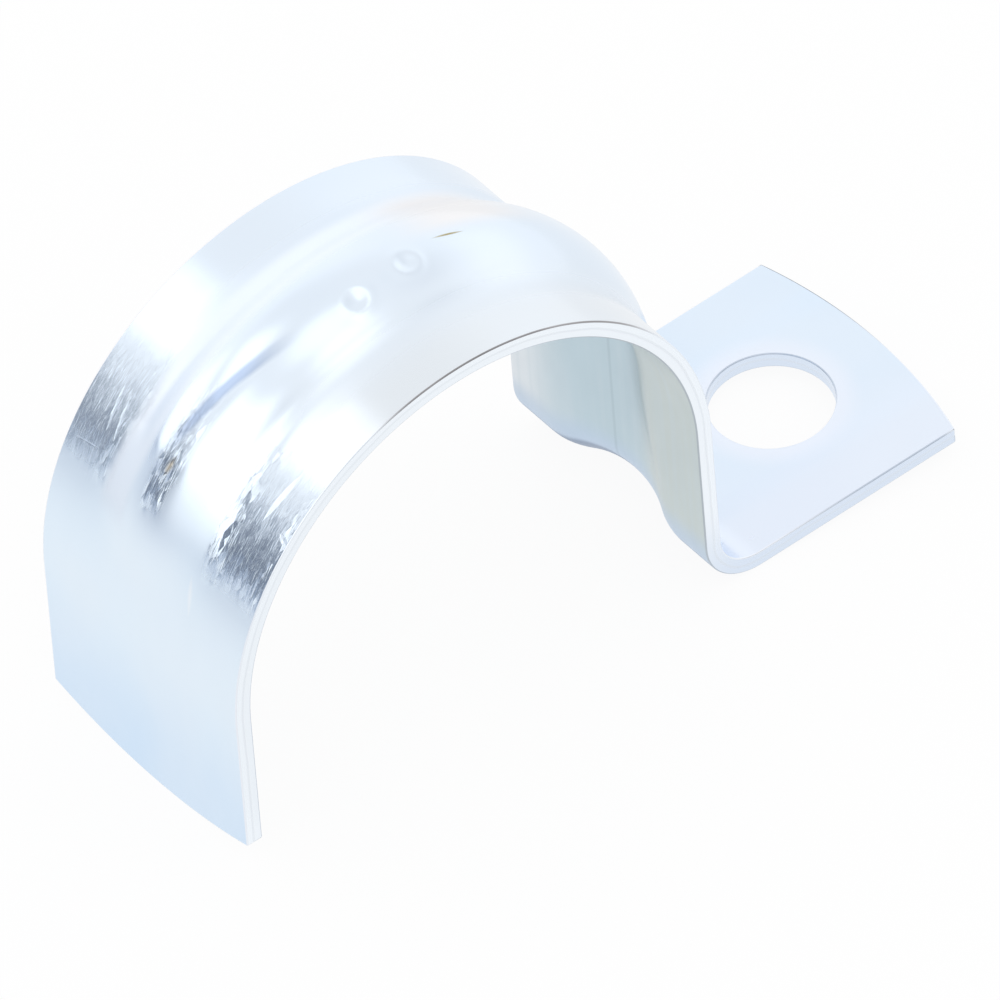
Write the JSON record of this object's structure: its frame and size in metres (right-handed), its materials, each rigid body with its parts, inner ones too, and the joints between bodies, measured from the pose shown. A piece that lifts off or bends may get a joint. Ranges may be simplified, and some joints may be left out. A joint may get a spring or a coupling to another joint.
{
  "type": "pipe clip",
  "caption": "One-lug pipe saddle clip pressed from zinc-plated steel strip: half-round arch with a raised stiffening rib, short free leg and a flat foot with a screw hole.",
  "frame": {"origin": "on the pipe's axis, at the middle of the strip's width", "axes": "+Y along the pipe, +X from the arch to the foot, +Z from the wall surface outwards over the pipe"},
  "size_m": [0.044, 0.0146, 0.0265],
  "materials": {
    "zinc_plated_steel": "bright zinc plating with a clear bluish passivate, lightly scuffed along the strip"
  },
  "bodies": {
    "root": {"pipe_clip": "zinc_plated_steel"}
  },
  "joints": []
}
